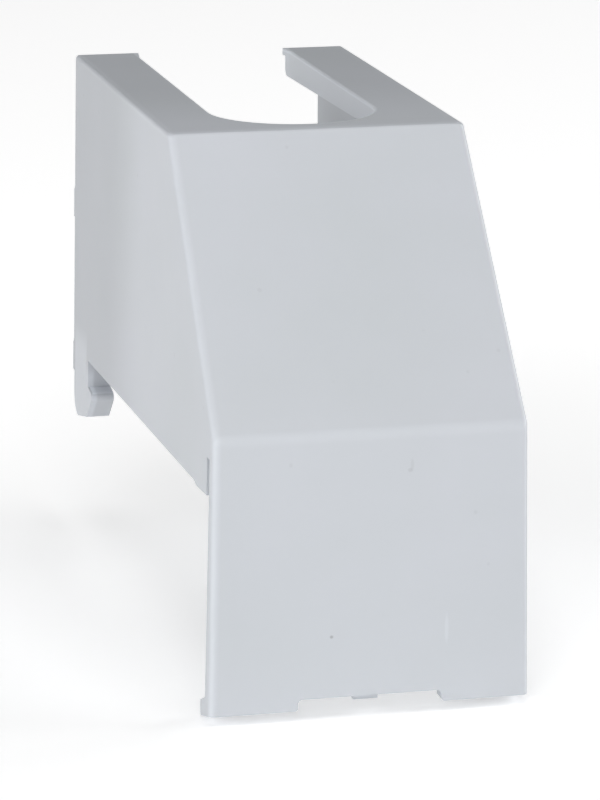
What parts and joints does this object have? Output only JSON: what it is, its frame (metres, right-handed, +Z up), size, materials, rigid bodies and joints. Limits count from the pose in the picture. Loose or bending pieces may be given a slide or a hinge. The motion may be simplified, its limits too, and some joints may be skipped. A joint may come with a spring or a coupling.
{
  "type": "terminal cover",
  "caption": "Clip-on shroud for the terminals of a moulded-case switch pole: folded front panel, sloping shoulder, open-ended cable slot in the top and snap legs at the rear.",
  "frame": {"origin": "foot line of the front panel, midway across the cover, in the plane of the panel's outer face", "axes": "+X across the cover, to the right seen from the front; +Y from the front panel back to the legs; +Z up, from the foot of the panel to the top with the cable slot"},
  "size_m": [0.035, 0.0793, 0.0587],
  "materials": {
    "grey_plastic": "satin"
  },
  "bodies": {
    "root": {"terminal_cover": "grey_plastic"}
  },
  "joints": []
}
